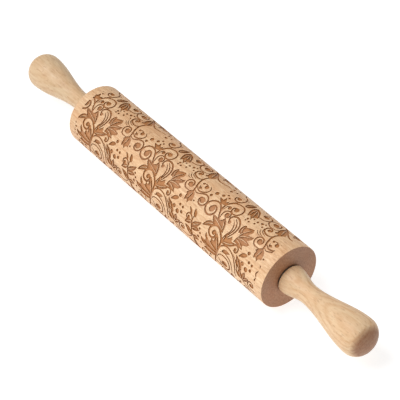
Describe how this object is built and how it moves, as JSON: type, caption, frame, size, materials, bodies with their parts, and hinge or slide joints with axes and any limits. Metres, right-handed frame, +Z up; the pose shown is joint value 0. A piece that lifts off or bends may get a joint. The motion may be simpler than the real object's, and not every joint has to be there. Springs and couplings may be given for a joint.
{
  "type": "embossing rolling pin",
  "caption": "Turned beech rolling pin: a cylindrical barrel engraved with scrolling vines and leaves spins on ball bearings around a steel axle between two bulb-ended handles.",
  "frame": {"origin": "on the table under the middle of the barrel, where the barrel touches it", "axes": "+X along the axle towards the right handle, +Z up, +Y across the barrel in the rolling direction"},
  "size_m": [0.428, 0.054, 0.054],
  "materials": {
    "barrel_beech": "satin, laser-engraved pattern burnt brown",
    "handle_beech": "satin, sanded and oiled",
    "axle_steel": "drawn",
    "bearing_steel": "ground",
    "shield_steel": "pressed",
    "cage_nylon": "moulded",
    "washer_nylon": "moulded"
  },
  "bodies": {
    "barrel": {"barrel": "barrel_beech", "right_bearing_outer_ring": "bearing_steel", "right_bearing_outboard_shield": "shield_steel", "right_bearing_inboard_shield": "shield_steel", "left_bearing_outer_ring": "bearing_steel", "left_bearing_outboard_shield": "shield_steel", "left_bearing_inboard_shield": "shield_steel"},
    "axle_and_handles": {"axle": "axle_steel", "right_handle": "handle_beech", "right_thrust_washer": "washer_nylon", "right_bearing_inner_ring": "bearing_steel", "left_handle": "handle_beech", "left_thrust_washer": "washer_nylon", "left_bearing_inner_ring": "bearing_steel"},
    "left_ball_cage": {"left_bearing_balls": "bearing_steel", "left_bearing_cage": "cage_nylon"},
    "right_ball_cage": {"right_bearing_balls": "bearing_steel", "right_bearing_cage": "cage_nylon"}
  },
  "joints": [
    {"name": "handle_spin", "type": "hinge", "parent": "barrel", "child": "axle_and_handles", "pos_m": [0, 0, 0.027], "axis": [1, 0, 0], "continuous": true},
    {"name": "left_cage_spin", "type": "hinge", "parent": "barrel", "child": "left_ball_cage", "pos_m": [0, 0, 0.027], "axis": [1, 0, 0], "continuous": true},
    {"name": "right_cage_spin", "type": "hinge", "parent": "barrel", "child": "right_ball_cage", "pos_m": [0, 0, 0.027], "axis": [1, 0, 0], "continuous": true}
  ],
  "couplings": [
    {"joint": "left_cage_spin", "follows": "handle_spin", "ratio": 0.37},
    {"joint": "right_cage_spin", "follows": "handle_spin", "ratio": 0.37}
  ]
}
